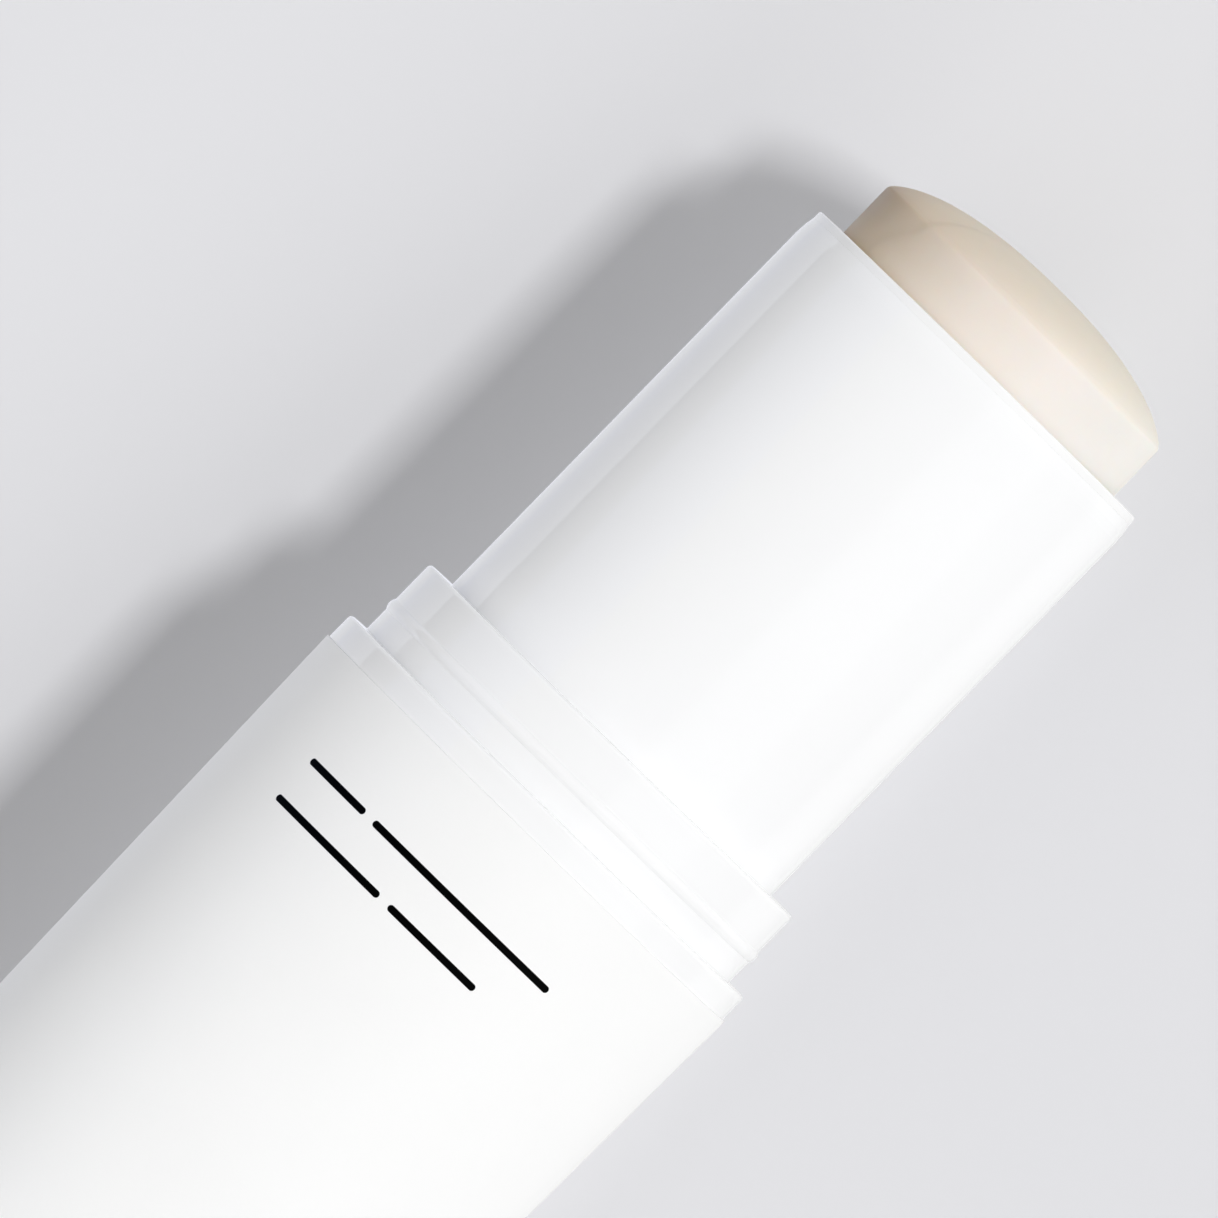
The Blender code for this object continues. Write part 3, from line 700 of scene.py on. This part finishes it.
crown = crown_profile(CROWN_RINGS)
shoulder = crown[-1]
kept = crown[np.linalg.norm(crown - shoulder, axis=1) > SHOULDER_ROUNDING / 2.0]
upper, upper_mask = rounded([*kept.tolist(), (*shoulder, SHOULDER_ROUNDING),
                             (product_radius, shoulder[1] - SHOULDER_ROUNDING)])
cup_rim = cup_high[2] + RIM_GAP
lower_part, lower_mask = rounded([
    (product_radius, shoulder[1] - FOOT_START),
    (product_radius, cup_rim, RIM_ROUND),
    (CUP_WALL_RADIUS, cup_rim),
    (CUP_WALL_RADIUS, product_low[2]),
    (BOSS_RADIUS, product_low[2]),
    (BOSS_RADIUS, BOSS_TOP),
    (0.0, BOSS_TOP),
])
wall_heights = np.linspace(shoulder[1] - 2.0 * SHOULDER_ROUNDING, cup_rim + WALL_END, WALL_ROWS)
wall = np.stack([np.full(WALL_ROWS, product_radius), wall_heights], axis=1)
outline = np.concatenate([upper, wall, lower_part[1:]])
mask = np.concatenate([upper_mask, np.zeros(WALL_ROWS), lower_mask[1:]])
angles = np.unique(np.round(np.mod(np.concatenate([FINE_TURN, CREASE_COLUMNS]), math.tau), 6))
grid, faces, mask = turned(outline, mask, angles, wrap_rows=False)
x, y, z = np.moveaxis(grid, -1, 0)
angle = np.arctan2(y, x)
skin = sum(np.sin(turns * angle + rate * (z - product_low[2]) / SKIN_PITCH + phase) / (1.0 + index)
           for index, (turns, rate, phase) in enumerate(SKIN_WAVES))
on_skin = np.hypot(x, y) > WALL_SHARE * product_radius
skin_depth = np.where(on_skin, SKIN_AMPLITUDE * (SKIN_OFFSET - skin), 0.0)
# Both are dents along the outline's normal, which is the outline's direction turned by a quarter
along = np.gradient(outline, axis=0)
normal = np.stack([along[:, 1], -along[:, 0]], axis=1) / np.linalg.norm(along, axis=1, keepdims=True)
open_rows = (np.arange(len(outline)) < len(upper) + WALL_ROWS - 1)[:, None]
dent = np.where(open_rows, skin_depth + crease_depth(x, y, z), 0.0)
sideways, upwards = normal[:, :1] * dent, normal[:, 1:] * dent
grid += np.stack([sideways * np.cos(angles), sideways * np.sin(angles), upwards], axis=-1)
product = add_surface("product", [as_part(grid, faces, mask)], "lift", ["product_stick"])
print("crease", CREASE_DEPTH / MM, "mm deep, dents", round(float(dent.max() / MM), 3), "mm at most")
light_link(large_cards, product, "EXCLUDE")
light_link(small_cards, product, "INCLUDE")

# %% [markdown]
# The backdrop touches the back of the stick, as in a picture taken on a table from above, and the floor is
# where the stick really stands. Both only catch the stick's shadow: they hide nothing from the light and
# fade out at their edges, so that the stick looks right from every side. They are clear from behind, and
# clear where they are seen edge-on, so that no thin line stands beside the stick.

# %% Backdrop and floor
BACKDROP_PLACE = 18.05 * MM
BACKDROP_GREY = (0.717, 0.717, 0.738, 1.0)
FLOOR_GREY = (0.758, 0.758, 0.781, 1.0)
FADE_START = 75.0 * MM
FADE_END = 125.0 * MM
# How far a plane may face away before it is clear, and before it starts to fade, from 0 to 1
CLEAR_SLANT = 0.97
FADE_SLANT = 0.9


def stage_material(name, centre, colour):
    """Matte grey that fades to clear away from a centre, and is clear from behind and seen edge-on."""
    material = bpy.data.materials.new(name)
    material.use_nodes = True
    tree = material.node_tree
    tree.nodes.clear()
    place = node(tree, "ShaderNodeTexCoord").outputs["Object"]
    away = node(tree, "ShaderNodeVectorMath", {0: place, 1: centre}, operation="DISTANCE").outputs["Value"]
    shown = smooth_step(tree, away, FADE_END, FADE_START)
    back = node(tree, "ShaderNodeNewGeometry").outputs["Backfacing"]
    front = math_node(tree, "MULTIPLY", shown, math_node(tree, "SUBTRACT", 1.0, back))
    slant = node(tree, "ShaderNodeLayerWeight", {"Blend": 0.5}).outputs["Facing"]
    front = math_node(tree, "MULTIPLY", front, smooth_step(tree, slant, CLEAR_SLANT, FADE_SLANT))
    grey = node(tree, "ShaderNodeBsdfDiffuse", {"Color": colour})
    clear = node(tree, "ShaderNodeBsdfTransparent")
    mixed = node(tree, "ShaderNodeMixShader", {0: front, 1: clear.outputs[0], 2: grey.outputs[0]})
    node(tree, "ShaderNodeOutputMaterial", {"Surface": mixed.outputs[0]})
    return material


def stage_plane(name, corners, centre, colour):
    """Flat rectangle that only catches shadow."""
    mesh = bpy.data.meshes.new(name)
    mesh.from_pydata(corners, [], [(0, 1, 2, 3)])
    plane = bpy.data.objects.new(name, mesh)
    bpy.context.collection.objects.link(plane)
    mesh.materials.append(stage_material(name, centre, colour))
    plane.visible_diffuse = False
    plane.visible_glossy = False
    plane.visible_transmission = False
    plane.visible_shadow = False
    return plane


left, right, top = VIEW_CENTRE.x - FADE_END, VIEW_CENTRE.x + FADE_END, VIEW_CENTRE.z + FADE_END
deep, reach = BACKDROP_PLACE, FADE_END
wall_corners = [(left, deep, 0.0), (right, deep, 0.0), (right, deep, top), (left, deep, top)]
floor_corners = [(-reach, -reach, 0.0), (reach, -reach, 0.0), (reach, reach, 0.0), (-reach, reach, 0.0)]
backdrop = stage_plane("backdrop", wall_corners, (VIEW_CENTRE.x, deep, VIEW_CENTRE.z), BACKDROP_GREY)
light_link([twin], backdrop, "INCLUDE")
stage_plane("floor", floor_corners, (0.0, 0.0, 0.0), FLOOR_GREY)
print("backdrop behind the stick at", round(BACKDROP_PLACE / MM, 2), "mm")

# %% [markdown]
# Plastic that looks plain still has structure. Three shared effects give it: clouding, which is the slow
# change of colour from mixing; grain, the texture of the mould, from coarse spark marks to a polish; and
# edge polish, where fingers and the cap rub the rounded edges.

# %% Shared effects
# The stretch of a noise, whose values run from 0 to 1, over which an effect comes in
CLOUD_RANGE = (0.3, 0.7)
WORN_RANGE = (0.35, 0.6)
# How much coarser the swell in a grain is than its fine noise, as one scale over the other
SWELL_SCALE = 0.04


def clouding_group():
    """Two colours mixed by slow noise on the object's own coordinates, one wave about a Size long."""
    group, takes, gives = new_group(
        "clouding",
        {"Colour A": (COLOUR, (1, 1, 1, 1)), "Colour B": (COLOUR, (1, 1, 1, 1)), "Size": (NUMBER, 0.01)},
        {"Colour": COLOUR})
    place = node(group, "ShaderNodeTexCoord").outputs["Object"]
    noise = node(group, "ShaderNodeTexNoise", {"Vector": place, "Detail": 3.0, "Roughness": 0.55,
                                               "Scale": math_node(group, "DIVIDE", 1.0, takes["Size"])})
    spread = smooth_step(group, noise.outputs["Fac"], *CLOUD_RANGE)
    mixed = blend_colour(group, spread, takes["Colour A"], takes["Colour B"])
    group.links.new(mixed, gives["Colour"])
    return group


def grain_group():
    """Mould texture: fine noise and a slower swell as a height, and a roughness that follows them."""
    group, takes, gives = new_group(
        "grain",
        {"Size": (NUMBER, 0.0002), "Swell": (NUMBER, 0.3), "Roughness": (NUMBER, 0.5),
         "Spread": (NUMBER, 0.05)},
        {"Height": NUMBER, "Roughness": NUMBER})
    place = node(group, "ShaderNodeTexCoord").outputs["Object"]
    scale = math_node(group, "DIVIDE", 1.0, takes["Size"])
    fine = node(group, "ShaderNodeTexNoise", {"Vector": place, "Scale": scale, "Detail": 2.0})
    slow_scale = math_node(group, "MULTIPLY", scale, SWELL_SCALE)
    slow = node(group, "ShaderNodeTexNoise", {"Vector": place, "Scale": slow_scale, "Detail": 2.0})
    height = blend_value(group, takes["Swell"], fine.outputs["Fac"], slow.outputs["Fac"])
    group.links.new(height, gives["Height"])
    change = math_node(group, "MULTIPLY", math_node(group, "SUBTRACT", slow.outputs["Fac"], 0.5),
                       takes["Spread"])
    group.links.new(math_node(group, "ADD", takes["Roughness"], change), gives["Roughness"])
    return group


def edge_polish_group():
    """Rubbed edges: the edge mask, broken up by noise, as a mask from 0 to Amount."""
    group, takes, gives = new_group("edge_polish", {"Amount": (NUMBER, 0.5), "Size": (NUMBER, 0.002)},
                                    {"Mask": NUMBER})
    place = node(group, "ShaderNodeTexCoord").outputs["Object"]
    noise = node(group, "ShaderNodeTexNoise", {"Vector": place, "Detail": 3.0,
                                               "Scale": math_node(group, "DIVIDE", 1.0, takes["Size"])})
    edge = node(group, "ShaderNodeAttribute", attribute_name="edge").outputs["Fac"]
    broken = math_node(group, "MULTIPLY", edge, smooth_step(group, noise.outputs["Fac"], *WORN_RANGE))
    group.links.new(math_node(group, "MULTIPLY", broken, takes["Amount"]), gives["Mask"])
    return group


def length_of(tree, first, second):
    """Output of the square root of the sum of two squares."""
    squares = math_node(tree, "MULTIPLY_ADD", first, first, math_node(tree, "MULTIPLY", second, second))
    return math_node(tree, "SQRT", squares)


def printed_bar_group():
    """Mask of one printed bar round the axis: 1 inside a strip with rounded ends, on the outside only.

    The distance along the turn is the angle from the front times the radius. Beyond the bar's half length
    it counts, together with the height off the bar's middle, as the distance from the bar's middle line.
    """
    group, takes, gives = new_group(
        "printed_bar",
        {"Height": (NUMBER, 0.04), "Start": (NUMBER, -45.0), "End": (NUMBER, 0.0),
         "Thickness": (NUMBER, 0.0005), "Softness": (NUMBER, 0.00003), "Outside": (NUMBER, 0.017)},
        {"Mask": NUMBER})
    place = node(group, "ShaderNodeTexCoord").outputs["Object"]
    x, y, z = node(group, "ShaderNodeSeparateXYZ", {0: place}).outputs
    angle = math_node(group, "ARCTAN2", x, math_node(group, "MULTIPLY", y, -1.0))
    radius = length_of(group, x, y)
    start = math_node(group, "RADIANS", takes["Start"])
    end = math_node(group, "RADIANS", takes["End"])
    middle = math_node(group, "MULTIPLY", math_node(group, "ADD", start, end), 0.5)
    half = math_node(group, "MULTIPLY", math_node(group, "SUBTRACT", end, start), 0.5)
    turned_by = math_node(group, "ABSOLUTE", math_node(group, "SUBTRACT", angle, middle))
    past = math_node(group, "MAXIMUM", math_node(group, "SUBTRACT", turned_by, half), 0.0)
    past = math_node(group, "MULTIPLY", past, radius)
    away = length_of(group, past, math_node(group, "SUBTRACT", z, takes["Height"]))
    edge = math_node(group, "MULTIPLY", takes["Thickness"], 0.5)
    inside = math_node(group, "DIVIDE", math_node(group, "SUBTRACT", edge, away), takes["Softness"])
    inside = math_node(group, "MAXIMUM", math_node(group, "ADD", inside, 0.5), 0.0)
    inside = math_node(group, "MINIMUM", inside, 1.0)
    outside = math_node(group, "GREATER_THAN", radius, takes["Outside"])
    group.links.new(math_node(group, "MULTIPLY", inside, outside), gives["Mask"])
    return group


clouding, grain, edge_polish = clouding_group(), grain_group(), edge_polish_group()
printed_bar = printed_bar_group()
print("groups", clouding.name, grain.name, edge_polish.name, printed_bar.name)


def place_group(tree, group, inputs):
    """Outputs of a shared effect placed in a material with its own values."""
    return node(tree, "ShaderNodeGroup", inputs, node_tree=group).outputs


def plastic(name, colour_a, colour_b, cloud_size, grain_values, bump, polish=None, **constants):
    """Moulded plastic: clouded colour, grain as bump and roughness, and polished edges where given."""
    material = bpy.data.materials.new(name)
    material.use_nodes = True
    tree = material.node_tree
    shader = tree.nodes["Principled BSDF"]
    for socket, value in constants.items():
        shader.inputs[socket.replace("_", " ")].default_value = value
    colour = place_group(tree, clouding, {"Colour A": (*colour_a, 1.0), "Colour B": (*colour_b, 1.0),
                                          "Size": cloud_size})["Colour"]
    texture = place_group(tree, grain, grain_values)
    roughness = texture["Roughness"]
    if polish:
        amount, size, polished_roughness = polish
        mask = place_group(tree, edge_polish, {"Amount": amount, "Size": size})["Mask"]
        roughness = blend_value(tree, mask, roughness, polished_roughness)
    raised = node(tree, "ShaderNodeBump", {"Height": texture["Height"], "Distance": bump, "Strength": 1.0})
    tree.links.new(colour, shader.inputs["Base Color"])
    tree.links.new(roughness, shader.inputs["Roughness"])
    tree.links.new(raised.outputs[0], shader.inputs["Normal"])
    return material


# %% [markdown]
# The shell's mould is spark-eroded, which pits it finely, so the plastic is matte and scatters the light
# evenly. Slim plain bars are printed on it. Ink could be pieces of their own, but it has no thickness to
# speak of, so a mask on the shell's own coordinates swaps the plastic for ink.

# %% Shell finish and its print
shell_finish = plastic("shell_matte", (0.957, 0.957, 0.955), (0.945, 0.945, 0.943), 9.0 * MM,
                       {"Size": 0.16 * MM, "Swell": 0.25, "Roughness": 0.52, "Spread": 0.12},
                       0.012 * MM, (0.6, 1.5 * MM, 0.36))
# The printed bars, as the height of each and the angles from the front where it starts and ends
PRINTED_BARS = ((39.0 * MM, -46.0, -28.0), (39.0 * MM, -23.5, 27.0), (35.8 * MM, -46.0, -13.0),
                (35.8 * MM, -8.5, 15.0))
BAR_THICKNESS = 0.5 * MM
INK = (0.004, 0.004, 0.004)
INK_ROUGHNESS = 0.45


def print_bars(material):
    """Dark ink over a finish, in colour, roughness and metal, by the largest of the bars' masks."""
    tree = material.node_tree
    shader = tree.nodes["Principled BSDF"]
    mask = 0.0
    for height, start, end in PRINTED_BARS:
        bar = place_group(tree, printed_bar, {"Height": height, "Start": start, "End": end,
                                              "Thickness": BAR_THICKNESS})["Mask"]
        mask = math_node(tree, "MAXIMUM", mask, bar)
    colour = blend_colour(tree, mask, shader.inputs["Base Color"].links[0].from_socket, (*INK, 1.0))
    roughness = blend_value(tree, mask, shader.inputs["Roughness"].links[0].from_socket, INK_ROUGHNESS)
    tree.links.new(colour, shader.inputs["Base Color"])
    tree.links.new(roughness, shader.inputs["Roughness"])
    # Ink this thin and black has no sheen of its own: as a metal it reflects no more than its colour
    tree.links.new(mask, shader.inputs["Metallic"])


print_bars(shell_finish)
print("printed bars", len(PRINTED_BARS))

# %% [markdown]
# The barrel comes from a polished mould, so only the slow swell of the plastic shows. The liner is a little
# duller. The inner pieces are plain white or natural plastic, each with its own grain, and the ring is soft
# grey rubber.

# %% Barrel, liner and inner finishes
barrel_finish = plastic("barrel_gloss", (0.94, 0.942, 0.948), (0.948, 0.95, 0.956), 14.0 * MM,
                        {"Size": 0.35 * MM, "Swell": 0.9, "Roughness": 0.045, "Spread": 0.03},
                        0.0012 * MM, (0.5, 2.0 * MM, 0.09))
liner_finish = plastic("liner_gloss", (0.94, 0.94, 0.941), (0.948, 0.948, 0.949), 10.0 * MM,
                       {"Size": 0.3 * MM, "Swell": 0.85, "Roughness": 0.16, "Spread": 0.08},
                       0.003 * MM, (0.5, 1.0 * MM, 0.26))
natural_finish = plastic("natural_white", (0.84, 0.84, 0.83), (0.8, 0.8, 0.79), 6.0 * MM,
                         {"Size": 0.2 * MM, "Swell": 0.5, "Roughness": 0.38, "Spread": 0.2}, 0.006 * MM)
nut_finish = plastic("nut_white", (0.82, 0.82, 0.79), (0.78, 0.78, 0.75), 4.0 * MM,
                     {"Size": 0.15 * MM, "Swell": 0.6, "Roughness": 0.32, "Spread": 0.15}, 0.004 * MM)
ring_finish = plastic("ring_rubber", (0.1, 0.1, 0.102), (0.075, 0.075, 0.077), 3.0 * MM,
                      {"Size": 0.1 * MM, "Swell": 0.4, "Roughness": 0.6, "Spread": 0.2}, 0.008 * MM)
screw_finish = plastic("screw_white", (0.86, 0.86, 0.84), (0.82, 0.82, 0.8), 5.0 * MM,
                       {"Size": 0.18 * MM, "Swell": 0.6, "Roughness": 0.3, "Spread": 0.15}, 0.004 * MM)
cup_finish = plastic("cup_white", (0.87, 0.87, 0.86), (0.84, 0.84, 0.83), 6.0 * MM,
                     {"Size": 0.2 * MM, "Swell": 0.5, "Roughness": 0.34, "Spread": 0.18}, 0.005 * MM)
print("materials so far", len(bpy.data.materials))

# %% [markdown]
# The product is wax. Light goes a little way into it and comes out warmer, which takes the hardness off its
# shaded side, so its shader has some subsurface scattering and only a weak sheen.

# %% Wax, and what wears what
product_finish = plastic("cream_wax", (0.835, 0.788, 0.708), (0.85, 0.803, 0.728), 5.0 * MM,
                         {"Size": 0.5 * MM, "Swell": 0.7, "Roughness": 0.48, "Spread": 0.2}, 0.02 * MM,
                         Specular_IOR_Level=0.25, Subsurface_Weight=0.2,
                         Subsurface_Radius=(1.0, 0.45, 0.22), Subsurface_Scale=1.5 * MM)


def dress(piece, material):
    """Gives a piece one material in place of what it has."""
    piece.data.materials.clear()
    piece.data.materials.append(material)


for piece, material in ((shell, shell_finish), (locators, shell_finish), (barrel, barrel_finish),
                        (liner, liner_finish), (product, product_finish)):
    dress(piece, material)
for name, material in (("inner_base", natural_finish), ("drive_nut", nut_finish),
                       ("friction_ring", ring_finish), ("lift_cup", cup_finish),
                       ("lift_screw", screw_finish)):
    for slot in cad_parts[name].material_slots:
        slot.material = material
print("materials", len(bpy.data.materials))
